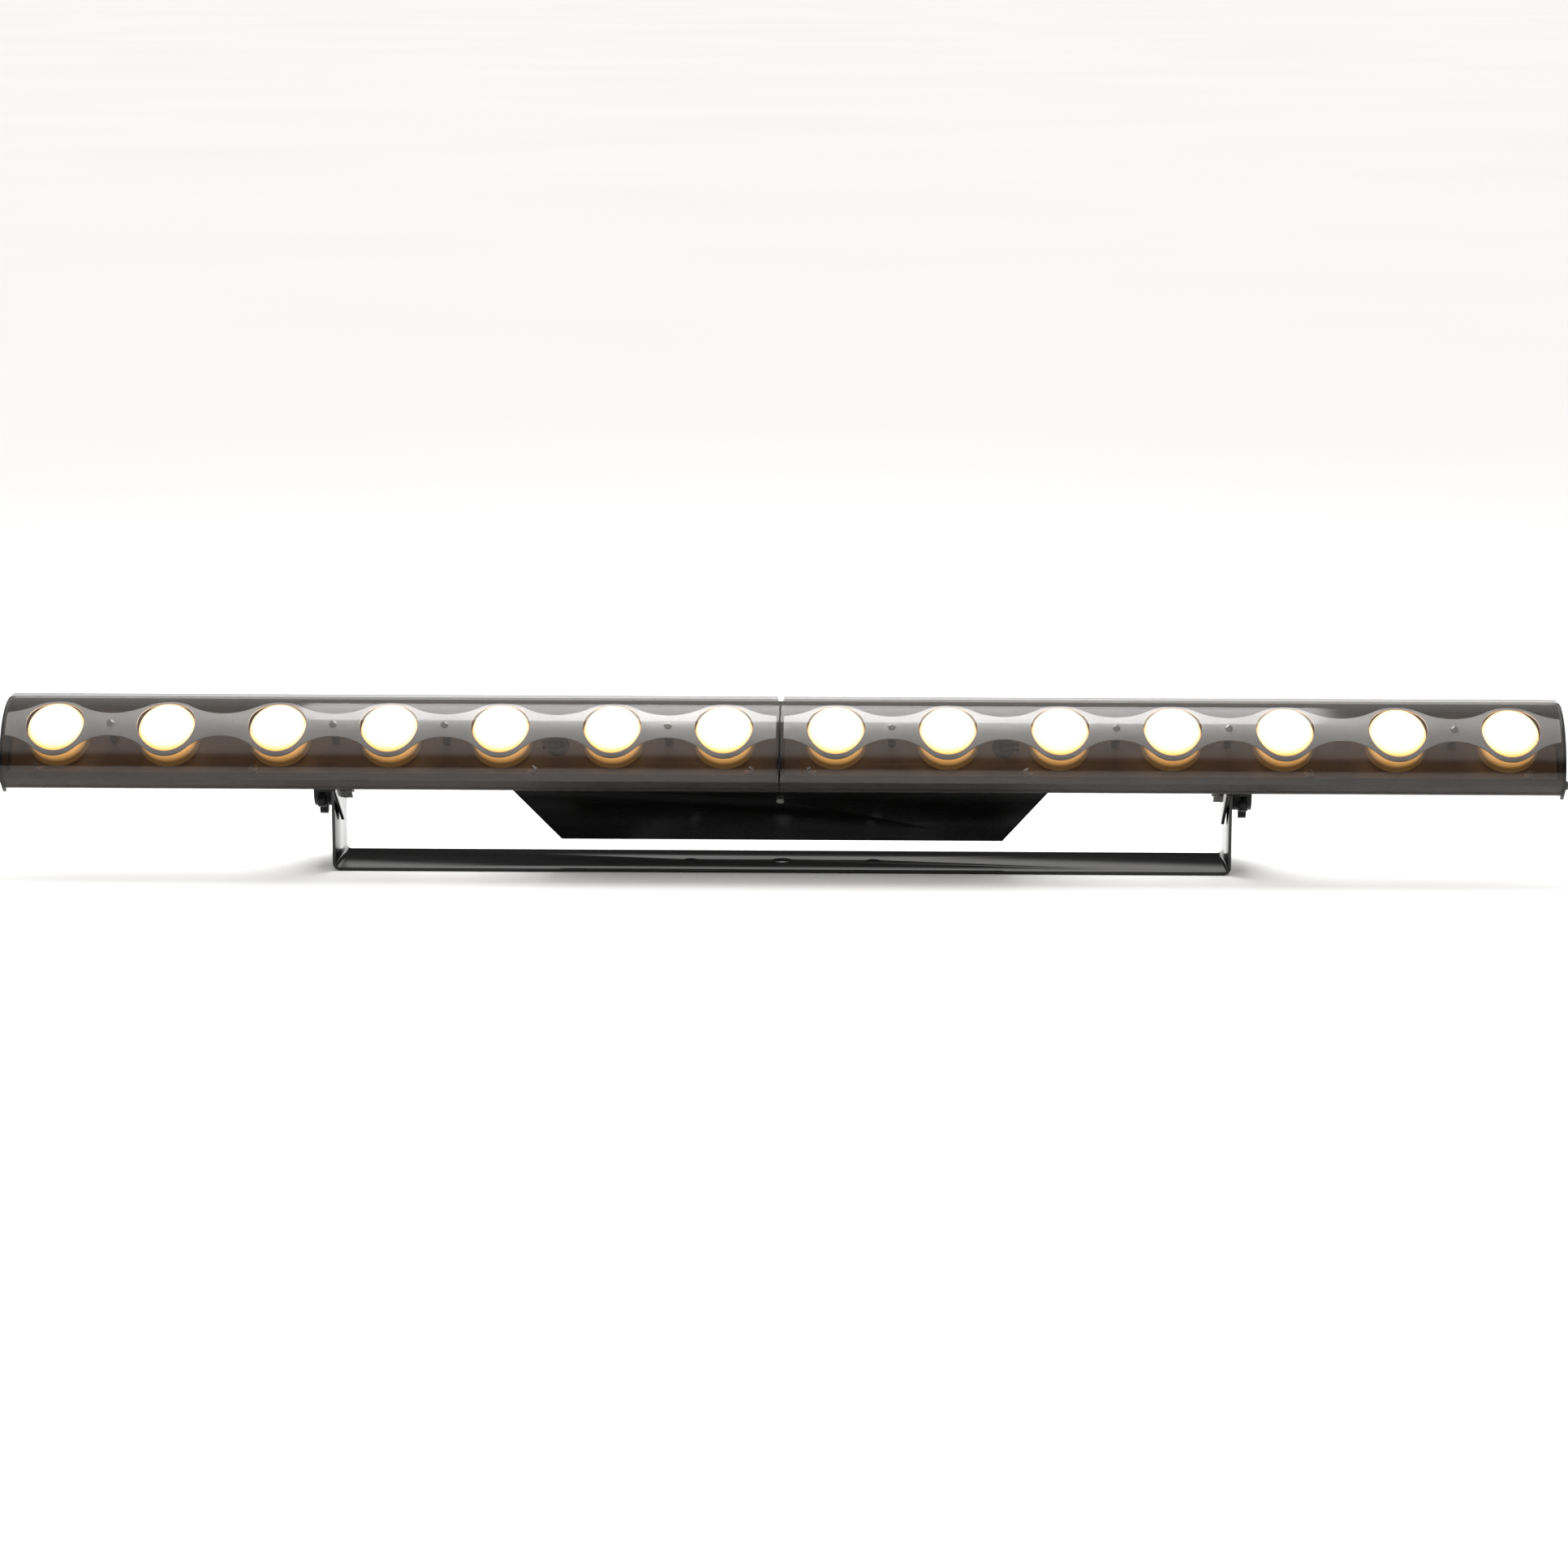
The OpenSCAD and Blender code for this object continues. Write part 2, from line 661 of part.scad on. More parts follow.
module ear_nuts() color("silver") translate([0, 0, pivot_z]) rotate([90 - aim, 0, 0]) both_ends() difference() {
    translate([ear_x0 - nut_len, 0, 0]) rotate([0, 90, 0]) cylinder(h = nut_len, r = 7.5, $fn = 6);
    rod_x(ear_x0 - nut_len - 1, ear_x0 + 1, bore_r);
}

// ---------- wiring ----------

module feed_grommets() color("black") on_bar() both_ends() translate([feed_x, 0, 0]) {
    ring(feed_r - 0.1, 4, back_z + 0.5, board_top + 0.6);
    ring(feed_r + 1.4, 4, board_top, board_top + 1);
}

// live, neutral and earth carried through, then live by way of the fuse, then neutral
module mains_wiring() color("#303030") on_bar() {
    wire_r = 1.1;
    for (y = [-2, 2, 6]) wire([[inlet_x, y, power_top], [inlet_x, y, power_top + 2.5],
        [outlet_x, y, power_top + 2.5], [outlet_x, y, power_top]], wire_r);
    wire([[inlet_x + 4, -7, power_top], [inlet_x + 4, -7, -54], [44, -7, -54], [47.5, -3.5, -53.8],
        [47.5, -3.5, fuse_top]], wire_r);
    wire([[50, -1, fuse_top], [50, -1, -53.8], [68, -1, -50], [68, -8, wire_entry_z],
        [terminal_face, -8, wire_entry_z]], wire_r);
    wire([[inlet_x + 4, 10.5, power_top], [inlet_x + 4, 10.5, -54], [72, 10.5, -54],
        [72, -3, wire_entry_z], [terminal_face, -3, wire_entry_z]], wire_r);
}

// a pair of leads to each board, through the grommets
module board_wiring() color("firebrick") on_bar() for (s = [-1, 1]) {
    wire_r = 0.9;
    over_z = -7;
    run_z = wire_entry_z + 1.5 * s;
    turn_x = 66 - 1.5 * s;
    near_y = 5 + 1.6 * s;
    far_y = 11.5 + 1.6 * s;
    wire([[terminal_face, near_y, wire_entry_z], [terminal_face + 6, near_y, wire_entry_z],
        [feed_x - 8, 2 * s, -24], [feed_x, 2 * s, -20], [feed_x, 2 * s, over_z],
        [feed_x + 9, 2 * s, over_z], [feed_x + 9, 2 * s, board_top]], wire_r);
    wire([[terminal_face, far_y, wire_entry_z], [turn_x, far_y, wire_entry_z], [turn_x, 24, run_z],
        [-feed_x + 8, 24, run_z], [-feed_x, 2 * s, -20], [-feed_x, 2 * s, over_z],
        [-feed_x - 9, 2 * s, over_z], [-feed_x - 9, 2 * s, board_top]], wire_r);
}

module signal_wiring() color("gray") on_bar() for (x = [sig_in_x, sig_out_x]) {
    run_y = -1.57 - x / 12;
    wire([[x, socket_y, signal_top], [x, socket_y, signal_top + 4], [62, run_y, signal_top + 4],
        [36, run_y, signal_top - 0.5], [30, run_y, signal_top - 0.5]], 0.9);
}

yoke();
friction_washers();
knob_washers();
housing();
end_plate_left();
end_plate_right();
end_plate_screws();
centre_divider();
cover_left();
cover_right();
led_board_left();
led_board_right();
board_screws();
emitters();
lens_holders();
lenses();
trim_band_left();
trim_band_right();
band_posts();
band_screws();
power_box();
back_panel();
panel_screws();
box_side_screws();
box_foot_screws();
power_supply();
supply_terminals();
control_board();
display_module();
display_window();
button_menu();
button_down();
button_up();
button_enter();
power_inlet();
power_outlet();
signal_inlet();
signal_outlet();
signal_latch();
connector_screws();
fuse_holder();
fuse_link();
fuse_cap();
safety_eye();
safety_eye_screws();
ear_left();
ear_right();
ear_screws();
ear_nuts();
knob_left();
knob_right();
stud_left();
stud_right();
feed_grommets();
mains_wiring();
board_wiring();
signal_wiring();
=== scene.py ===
"""LED strip batten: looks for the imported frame, laid out as a Blender add-on."""
import math

import bmesh
import bpy
from mathutils import Matrix, Vector


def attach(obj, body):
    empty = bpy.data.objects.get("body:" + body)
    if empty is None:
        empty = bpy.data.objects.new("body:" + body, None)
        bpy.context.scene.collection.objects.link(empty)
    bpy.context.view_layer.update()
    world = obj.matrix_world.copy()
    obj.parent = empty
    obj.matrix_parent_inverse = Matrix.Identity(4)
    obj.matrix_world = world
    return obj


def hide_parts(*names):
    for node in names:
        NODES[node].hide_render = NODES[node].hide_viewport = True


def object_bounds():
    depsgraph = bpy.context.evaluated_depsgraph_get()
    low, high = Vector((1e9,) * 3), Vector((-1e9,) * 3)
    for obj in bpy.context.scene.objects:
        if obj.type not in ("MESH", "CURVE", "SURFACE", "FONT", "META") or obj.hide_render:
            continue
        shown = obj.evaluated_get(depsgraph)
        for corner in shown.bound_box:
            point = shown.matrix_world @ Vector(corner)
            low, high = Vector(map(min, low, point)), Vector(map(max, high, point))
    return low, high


bl_info = {
    "name": "Light batten",
    "version": (1, 0, 0),
    "blender": (4, 2, 0),
    "location": "3D View > Sidebar > Batten",
    "description": "Gives a metre-long stage light bar its lenses, screws, finishes and studio",
    "category": "Object",
}

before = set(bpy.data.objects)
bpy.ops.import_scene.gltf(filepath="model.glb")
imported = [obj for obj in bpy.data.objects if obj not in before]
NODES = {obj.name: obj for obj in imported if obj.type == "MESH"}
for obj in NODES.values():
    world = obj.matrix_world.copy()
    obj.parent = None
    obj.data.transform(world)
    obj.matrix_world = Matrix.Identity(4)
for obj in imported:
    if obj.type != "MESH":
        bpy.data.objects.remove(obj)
CAD_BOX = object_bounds()

# The bar is drawn aimed up, then tilted about the yoke's axis.
PIVOT = 0.050
STAND_OFF = 0.060
AIM = math.radians(43.0)
BAR = (
    Matrix.Translation((0.0, 0.0, PIVOT))
    @ Matrix.Rotation(math.pi / 2 - AIM, 4, "X")
    @ Matrix.Translation((0.0, 0.0, STAND_OFF))
)

COVER_INDEX = 1.75
LENS_DOME_HEIGHT = 0.0059

FLOOR_REACH = 70.0
FLOOR_GAP = 0.0002
SOFTBOX_PLACE = (0.0, 0.25, 1.1)
SOFTBOX_SIZE = (0.9, 0.8)
SOFTBOX_AIM = (0.0, -0.066, 0.065)
CAMERA_TARGET = Vector((0.0031, -0.0664, 0.0659))
CAMERA_REACH = 60.0

# The dome turns from dark to pale between these upward parts of a direction.
HORIZON_FROM = 0.26
HORIZON_TO = 0.50
HORIZON_STRENGTH = 0.02


# ---------- mesh helpers ----------


def new_object(name, mesh):
    """A piece at the origin, unturned, holding this mesh."""
    obj = bpy.data.objects.new(name, mesh)
    bpy.context.scene.collection.objects.link(obj)
    return obj


def smooth_faces(mesh, degrees=35.0):
    """Smooth shading with the edges sharper than this angle kept crisp."""
    for face in mesh.polygons:
        face.use_smooth = True
    mesh.set_sharp_from_angle(angle=math.radians(degrees))


def only_material(mesh, material):
    mesh.materials.clear()
    mesh.materials.append(material)


def merged_copy(node):
    """A copy of a CAD node's loose triangles, welded into closed solids."""
    mesh = NODES[node].data.copy()
    work = bmesh.new()
    work.from_mesh(mesh)
    bmesh.ops.remove_doubles(work, verts=work.verts, dist=0.000002)
    bmesh.ops.dissolve_limit(
        work, angle_limit=math.radians(1.0), verts=work.verts, edges=work.edges
    )
    work.to_mesh(mesh)
    work.free()
    return mesh


def plain_result(obj, name):
    """The evaluated mesh of an object as a new plain mesh, with the object removed."""
    graph = bpy.context.evaluated_depsgraph_get()
    mesh = bpy.data.meshes.new_from_object(obj.evaluated_get(graph))
    mesh.name = name
    old = obj.data
    bpy.data.objects.remove(obj)
    bpy.data.meshes.remove(old)
    return mesh


def eased(node, name, width, material, segments=2):
    """A CAD node again with its edges rounded over, as a new piece."""
    obj = new_object(name, merged_copy(node))
    bevel = obj.modifiers.new("Eased edges", "BEVEL")
    bevel.width = width
    bevel.segments = segments
    bevel.limit_method = "ANGLE"
    bevel.angle_limit = math.radians(50.0)
    bevel.use_clamp_overlap = True
    mesh = plain_result(obj, name)
    smooth_faces(mesh, 40.0)
    only_material(mesh, material)
    return new_object(name, mesh)


def islands(node):
    """Centre and half size, in the bar's own frame, of each solid of a node."""
    mesh = merged_copy(node)
    work = bmesh.new()
    work.from_mesh(mesh)
    work.transform(BAR.inverted())
    seen = set()
    found = []
    for start in work.verts:
        if start in seen:
            continue
        group = [start]
        seen.add(start)
        for vert in group:
            for edge in vert.link_edges:
                other = edge.other_vert(vert)
                if other not in seen:
                    seen.add(other)
                    group.append(other)
        low = Vector([min(v.co[i] for v in group) for i in range(3)])
        high = Vector([max(v.co[i] for v in group) for i in range(3)])
        found.append(((low + high) / 2, (high - low) / 2))
    work.free()
    bpy.data.meshes.remove(mesh)
    return found


def lathe(profile, steps, shape=None):
    """A closed solid turned about Z from (radius, height) points, first and last on the axis."""
    work = bmesh.new()
    rings = []
    for order, (radius, height) in enumerate(profile):
        if radius <= 0.0:
            rings.append([work.verts.new((0.0, 0.0, height))])
            continue
        ring = []
        for step in range(steps):
            angle = 2 * math.pi * step / steps
            here = radius * (shape(order, angle) if shape else 1.0)
            ring.append(work.verts.new((here * math.cos(angle), here * math.sin(angle), height)))
        rings.append(ring)
    for below, above in zip(rings, rings[1:]):
        for step in range(steps):
            after = (step + 1) % steps
            if len(below) == 1:
                work.faces.new((below[0], above[after], above[step]))
            elif len(above) == 1:
                work.faces.new((below[step], below[after], above[0]))
            else:
                work.faces.new((below[step], below[after], above[after], above[step]))
    bmesh.ops.recalc_face_normals(work, faces=work.faces)
    mesh = bpy.data.meshes.new("turned")
    work.to_mesh(mesh)
    work.free()
    return mesh


# ---------- geometry nodes ----------


def copies_tree():
    """Stands a copy of one part on every vertex, with one scale and one material."""
    name = "Copies on places"
    if name in bpy.data.node_groups:
        return bpy.data.node_groups[name]
    tree = bpy.data.node_groups.new(name, "GeometryNodeTree")
    face = tree.interface
    face.new_socket("Geometry", in_out="OUTPUT", socket_type="NodeSocketGeometry")
    face.new_socket("Geometry", in_out="INPUT", socket_type="NodeSocketGeometry")
    face.new_socket("Part", in_out="INPUT", socket_type="NodeSocketObject")
    face.new_socket("Size", in_out="INPUT", socket_type="NodeSocketFloat")
    face.new_socket("Finish", in_out="INPUT", socket_type="NodeSocketMaterial")
    start = tree.nodes.new("NodeGroupInput")
    end = tree.nodes.new("NodeGroupOutput")
    info = tree.nodes.new("GeometryNodeObjectInfo")
    stand = tree.nodes.new("GeometryNodeInstanceOnPoints")
    real = tree.nodes.new("GeometryNodeRealizeInstances")
    finish = tree.nodes.new("GeometryNodeSetMaterial")
    info.transform_space = "ORIGINAL"
    link = tree.links.new
    link(start.outputs["Part"], info.inputs["Object"])
    link(start.outputs["Geometry"], stand.inputs["Points"])
    link(info.outputs["Geometry"], stand.inputs["Instance"])
    link(start.outputs["Size"], stand.inputs["Scale"])
    link(stand.outputs["Instances"], real.inputs["Geometry"])
    link(real.outputs["Geometry"], finish.inputs["Geometry"])
    link(start.outputs["Finish"], finish.inputs["Material"])
    link(finish.outputs["Geometry"], end.inputs["Geometry"])
    return tree


def copies(name, part_mesh, places, material, size=1.0):
    """One plain mesh that holds the part at every place."""
    tree = copies_tree()
    part = new_object(name + "_part", part_mesh)
    points = bpy.data.meshes.new(name + "_places")
    points.from_pydata([tuple(p) for p in places], [], [])
    holder = new_object(name + "_holder", points)
    modifier = holder.modifiers.new("Copies", "NODES")
    modifier.node_group = tree
    values = {"Part": part, "Size": size, "Finish": material}
    for item in tree.interface.items_tree:
        if item.item_type == "SOCKET" and item.in_out == "INPUT" and item.name in values:
            modifier[item.identifier] = values[item.name]
    mesh = plain_result(holder, name)
    bpy.data.objects.remove(part)
    if not mesh.polygons:
        raise RuntimeError(name + " came out empty")
    only_material(mesh, material)
    return new_object(name, mesh)


# ---------- material helpers ----------


class Finish:
    """One procedural material: a Principled shader and the nodes that feed it."""

    def __init__(self, name):
        self.material = bpy.data.materials.new(name)
        self.material.use_nodes = True
        self.nodes = self.material.node_tree.nodes
        self.link = self.material.node_tree.links.new
        self.shader = self.nodes["Principled BSDF"]
        self.coords = self.nodes.new("ShaderNodeTexCoord").outputs["Object"]

    def set(self, **values):
        for key, value in values.items():
            self.shader.inputs[key.replace("_", " ")].default_value = value
        return self

    def stretched(self, scale):
        mapping = self.nodes.new("ShaderNodeMapping")
        mapping.inputs["Scale"].default_value = scale
        self.link(self.coords, mapping.inputs["Vector"])
        return mapping.outputs["Vector"]

    def in_bar(self):
        """Object coordinates turned into the bar's own axes."""
        turn = self.nodes.new("ShaderNodeVectorRotate")
        turn.rotation_type = "X_AXIS"
        turn.inputs["Center"].default_value = (0.0, 0.0, PIVOT)
        turn.inputs["Angle"].default_value = AIM - math.pi / 2
        self.link(self.coords, turn.inputs["Vector"])
        return turn.outputs["Vector"]

    def noise(self, scale, detail=3.0, vector=None, rough=0.5):
        node = self.nodes.new("ShaderNodeTexNoise")
        node.inputs["Scale"].default_value = scale
        node.inputs["Detail"].default_value = detail
        node.inputs["Roughness"].default_value = rough
        self.link(vector or self.coords, node.inputs["Vector"])
        return node.outputs["Fac"]

    def ramp(self, source, stops):
        node = self.nodes.new("ShaderNodeValToRGB")
        bar = node.color_ramp.elements
        while len(bar) < len(stops):
            bar.new(0.5)
        for element, (place, color) in zip(bar, stops):
            element.position = place
            element.color = tuple(color) + (1.0,)
        self.link(source, node.inputs["Fac"])
        return node.outputs["Color"]

    def between(self, source, low, high):
        node = self.nodes.new("ShaderNodeMapRange")
        node.inputs["From Min"].default_value = 0.3
        node.inputs["From Max"].default_value = 0.7
        node.inputs["To Min"].default_value = low
        node.inputs["To Max"].default_value = high
        self.link(source, node.inputs["Value"])
        return node.outputs["Result"]

    def bump(self, source, strength, distance):
        node = self.nodes.new("ShaderNodeBump")
        node.inputs["Strength"].default_value = strength
        node.inputs["Distance"].default_value = distance
        self.link(source, node.inputs["Height"])
        self.link(node.outputs["Normal"], self.shader.inputs["Normal"])
        return self

    def color(self, source):
        self.link(source, self.shader.inputs["Base Color"])
        return self

    def roughness(self, source):
        self.link(source, self.shader.inputs["Roughness"])
        return self


def shade(color, factor):
    return tuple(min(1.0, c * factor) for c in color)


def coated_steel(name, color, low, high, peel, gloss=0.5):
    """Powder coat or paint: slight tone change, orange peel and handling marks."""
    f = Finish(name)
    f.set(Specular_IOR_Level=gloss)
    broad = f.noise(14.0, 4.0)
    fine = f.noise(1400.0, 2.0)
    marks = f.noise(60.0, 6.0, f.stretched((0.25, 1.0, 1.0)), 0.65)
    f.color(f.ramp(broad, [(0.3, shade(color, 0.8)), (0.7, shade(color, 1.25))]))
    f.roughness(f.between(marks, low, high))
    f.bump(fine, peel, 0.0001)
    return f.material


def anodised(name, color):
    """Black extrusion with die lines along its length."""
    f = Finish(name)
    lines = f.noise(900.0, 2.0, f.stretched((0.004, 1.0, 1.0)))
    broad = f.noise(10.0)
    f.set(Metallic=0.65)
    f.color(f.ramp(broad, [(0.3, shade(color, 0.8)), (0.7, shade(color, 1.3))]))
    f.roughness(f.between(lines, 0.32, 0.5))
    f.bump(lines, 0.12, 0.0001)
    return f.material


def metal(name, color, low, high, grain, along=(1.0, 1.0, 1.0)):
    """Plated or rolled metal with a grain and faint clouding."""
    f = Finish(name)
    brush = f.noise(grain, 3.0, f.stretched(along))
    cloud = f.noise(25.0, 4.0)
    f.set(Metallic=1.0)
    f.color(f.ramp(cloud, [(0.3, shade(color, 0.82)), (0.7, shade(color, 1.08))]))
    f.roughness(f.between(brush, low, high))
    f.bump(brush, 0.08, 0.0001)
    return f.material


def moulded(name, color, low, high, texture=0.25, grain=2600.0):
    """Moulded plastic or rubber with a fine spark texture."""
    f = Finish(name)
    f.set(Specular_IOR_Level=0.2)
    fine = f.noise(grain, 2.0)
    broad = f.noise(30.0, 3.0)
    f.color(f.ramp(broad, [(0.3, shade(color, 0.85)), (0.7, shade(color, 1.15))]))
    f.roughness(f.between(broad, low, high))
    f.bump(fine, texture, 0.0001)
    return f.material


def smoked_cover(name, color, alpha, index):
    """Clear smoked plastic: a dark tint with a hard gloss and a little dust."""
    f = Finish(name)
    dust = f.noise(900.0, 4.0, None, 0.7)
    haze = f.noise(5.0, 2.0, f.stretched((0.4, 1.0, 1.0)))
    f.set(Alpha=alpha, IOR=index)
    f.color(f.ramp(dust, [(0.35, color), (0.8, shade(color, 1.8))]))
    f.roughness(f.between(haze, 0.05, 0.12))
    return f.material


def circuit(name, mask, trace, scale):
    """Solder mask over copper tracks."""
    f = Finish(name)
    brick = f.nodes.new("ShaderNodeTexBrick")
    brick.inputs["Scale"].default_value = scale
    brick.inputs["Mortar Size"].default_value = 0.03
    brick.inputs["Color1"].default_value = mask + (1.0,)
    brick.inputs["Color2"].default_value = shade(mask, 1.25) + (1.0,)
    brick.inputs["Mortar"].default_value = trace + (1.0,)
    f.link(f.in_bar(), brick.inputs["Vector"])
    weave = f.noise(1200.0, 2.0)
    f.color(brick.outputs["Color"])
    f.roughness(f.between(weave, 0.28, 0.42))
    f.bump(weave, 0.1, 0.0001)
    f.set(Coat_Weight=0.3)
    return f.material


def lit_lens(name, hot, gold, power):
    """A lens lit from behind: white heat in the middle, gold towards its lower rim."""
    f = Finish(name)
    heat = f.nodes.new("ShaderNodeAttribute")
    heat.attribute_name = "towards_rim"
    stops = [(0.0, hot), (0.62, hot), (0.88, gold), (1.0, shade(gold, 0.6))]
    glow = f.ramp(heat.outputs["Fac"], stops)
    frost = f.noise(1800.0, 2.0)
    f.link(glow, f.shader.inputs["Emission Color"])
    f.color(glow)
    f.roughness(f.between(frost, 0.08, 0.2))
    f.set(Emission_Strength=power)
    return f.material


def painted_spill_holder(name, gold, power):
    """Holder plastic with painted light: a gold emission, strongest at its top, that stands in for
    lens light spilling onto the holder walls.
    """
    f = Finish(name)
    height = f.nodes.new("ShaderNodeSeparateXYZ")
    f.link(f.in_bar(), height.inputs["Vector"])
    # Painted spill glow: the gold emission rises from almost none at the holder's foot to full at
    # its top.
    level = f.nodes.new("ShaderNodeMapRange")
    level.inputs["From Min"].default_value = PIVOT + STAND_OFF - 0.006
    level.inputs["From Max"].default_value = PIVOT + STAND_OFF + 0.0046
    f.link(height.outputs["Z"], level.inputs["Value"])
    fine = f.noise(2600.0, 2.0)
    f.color(f.ramp(fine, [(0.3, (0.04, 0.03, 0.022)), (0.7, (0.06, 0.045, 0.03))]))
    f.link(f.ramp(level.outputs["Result"], [(0.0, shade(gold, 0.08)), (1.0, gold)]),
           f.shader.inputs["Emission Color"])
    f.set(Emission_Strength=power, Roughness=0.45)
    return f.material


def phosphor(name, color, power):
    f = Finish(name)
    grain = f.noise(3000.0, 3.0)
    tone = f.ramp(grain, [(0.3, shade(color, 0.85)), (0.7, color)])
    f.color(tone)
    f.link(tone, f.shader.inputs["Emission Color"])
    f.set(Emission_Strength=power, Roughness=0.5)
    return f.material


def tinted_window(name, color):
    f = Finish(name)
    smear = f.noise(80.0, 4.0)
    f.color(f.ramp(smear, [(0.3, color), (0.7, shade(color, 1.2))]))
    f.roughness(f.between(smear, 0.05, 0.12))
    f.set(Alpha=0.85)
    return f.material


# ---------- settings ----------


class BattenFinish(bpy.types.PropertyGroup):
    """Colours and strengths a user would change."""

    powder: bpy.props.FloatVectorProperty(
        name="Powder coat", description="Colour of the yoke, ears and end plates",
        default=(0.006, 0.006, 0.006), subtype="COLOR", size=3, min=0.0, max=1.0)
    box: bpy.props.FloatVectorProperty(
        name="Box paint", description="Colour of the power box",
        default=(0.002, 0.002, 0.002), subtype="COLOR", size=3, min=0.0, max=1.0)
    smoke: bpy.props.FloatVectorProperty(
        name="Cover tint", description="Colour of the smoked covers",
        default=(0.016, 0.011, 0.008), subtype="COLOR", size=3, min=0.0, max=1.0)
    smoke_alpha: bpy.props.FloatProperty(
        name="Cover density", description="How much each face of a cover holds back",
        default=0.38, min=0.0, max=1.0, subtype="FACTOR")
    band: bpy.props.FloatVectorProperty(
        name="Trim band", description="Colour of the metal band round the lenses",
        default=(0.78, 0.77, 0.75), subtype="COLOR", size=3, min=0.0, max=1.0)
    hot: bpy.props.FloatVectorProperty(
        name="Lens middle", description="Colour of the light in the middle of a lens",
        default=(1.0, 0.93, 0.80), subtype="COLOR", size=3, min=0.0, max=1.0)
    gold: bpy.props.FloatVectorProperty(
        name="Lens rim", description="Colour of the light at a lens's rim",
        default=(1.0, 0.50, 0.14), subtype="COLOR", size=3, min=0.0, max=1.0)
    glow: bpy.props.FloatProperty(
        name="Lens strength", description="Strength of the light from the lenses",
        default=3.4, min=0.0, max=50.0)
    # Holder glow is painted light: the strength of the gold emission that stands in for lens light
    # spilling onto the holders.
    painted_holder_spill: bpy.props.FloatProperty(
        name="Holder glow", description="Strength of the light that shows through the lens holders",
        default=2.6, min=0.0, max=20.0)


class BattenShape(bpy.types.PropertyGroup):
    """Small sizes that the finishing adds."""

    yoke_edge: bpy.props.FloatProperty(
        name="Yoke edge", description="Rounding of the yoke's edges",
        default=0.0004, min=0.0, max=0.001, unit="LENGTH")
    box_edge: bpy.props.FloatProperty(
        name="Box edge", description="Rounding of the box's folded edges",
        default=0.0005, min=0.0, max=0.001, unit="LENGTH")
    knob_edge: bpy.props.FloatProperty(
        name="Knob edge", description="Rounding of the knobs' edges",
        default=0.0008, min=0.0, max=0.002, unit="LENGTH")
    lens_ridges: bpy.props.IntProperty(
        name="Lens ridges", description="Fine rings moulded round a lens's rim",
        default=3, min=0, max=6)


class BattenStudio(bpy.types.PropertyGroup):
    """Camera and lights."""

    distance: bpy.props.FloatProperty(
        name="Camera distance", description="From the camera to the bar",
        default=2.85, min=1.0, max=10.0, unit="LENGTH")
    height: bpy.props.FloatProperty(
        name="Camera elevation", description="Angle of the camera above the bar",
        default=math.radians(11.0), min=0.0, max=1.5, subtype="ANGLE")
    aside: bpy.props.FloatProperty(
        name="Camera offset", description="How far the camera stands to the right",
        default=0.078, min=-1.0, max=1.0, unit="LENGTH")
    width: bpy.props.FloatProperty(
        name="Picture width", description="Width of the view at the bar",
        default=1.0040, min=0.1, max=5.0, unit="LENGTH")
    softbox: bpy.props.FloatProperty(
        name="Softbox power", description="Power of the light above the bar",
        default=15.0, min=0.0, max=500.0, unit="POWER")
    dome: bpy.props.FloatProperty(
        name="Dome strength", description="Strength of the pale light from all round",
        default=1.25, min=0.0, max=10.0)


PROPERTY_GROUPS = (
    ("batten_finish", BattenFinish),
    ("batten_shape", BattenShape),
    ("batten_studio", BattenStudio),
)


def finish_settings():
    return bpy.context.scene.batten_finish


def shape_settings():
    return bpy.context.scene.batten_shape


def paint(nodes, material):
    """Gives CAD nodes this finish, their shapes untouched."""
    for node in nodes:
        only_material(NODES[node].data, material)


# ---------- pieces ----------


def lens_mesh(radius, foot, rim, apex, ridges):
    """One lens, foot down, with its heat attribute running from middle to lower rim."""
    body = radius - 0.0005
    seat = foot + (rim - foot) * 0.78
    collar = radius - 0.0001
    profile = [(0.0, foot), (body, foot), (body, seat), (collar, seat), (collar, rim)]
    edge = radius - 0.0006
    for ridge in range(ridges):
        outer = edge - ridge * 0.0011
        profile.append((outer, rim + 0.0002 + ridge * 0.0005))
        profile.append((outer - 0.0005, rim + 0.0006 + ridge * 0.0005))
        profile.append((outer - 0.0009, rim + 0.0004 + ridge * 0.0005))
    dome = edge - ridges * 0.0011
    start = rim + 0.0005 + ridges * 0.0005
    rings = 12
    for ring in range(rings):
        swing = math.pi / 2 * ring / rings
        profile.append((dome * math.cos(swing), start + (apex - start) * math.sin(swing)))
    profile.append((0.0, apex))
    mesh = lathe(profile, 64)
    smooth_faces(mesh, 50.0)
    heat = mesh.attributes.new("towards_rim", "FLOAT", "POINT")
    for vert in mesh.vertices:
        across = math.hypot(vert.co.x, vert.co.y) / radius
        low_side = -vert.co.y / radius
        buried = 0.25 if vert.co.z < rim else 0.0
        heat.data[vert.index].value = 0.80 * across + 0.16 * max(0.0, low_side) * across + buried
    return mesh


def screw_mesh(head_r, head_h, shank_r, shank_l):
    """Pan-head screw with a cross recess, its head on z = 0."""
    drop = head_h * 0.55

    def cross(order, angle):
        if order in (6, 7):
            return 0.42 + 0.58 * abs(math.cos(2 * angle)) ** 3
        return 1.0

    profile = [
        (0.0, -shank_l), (shank_r * 0.8, -shank_l), (shank_r, -shank_l + 0.0003), (shank_r, 0.0),
        (head_r, 0.0), (head_r * 0.96, head_h * 0.55),
        (head_r * 0.55, head_h * 0.98), (head_r * 0.50, head_h - drop), (0.0, head_h - drop),
    ]
    mesh = lathe(profile, 48, cross)
    smooth_faces(mesh, 40.0)
    return mesh


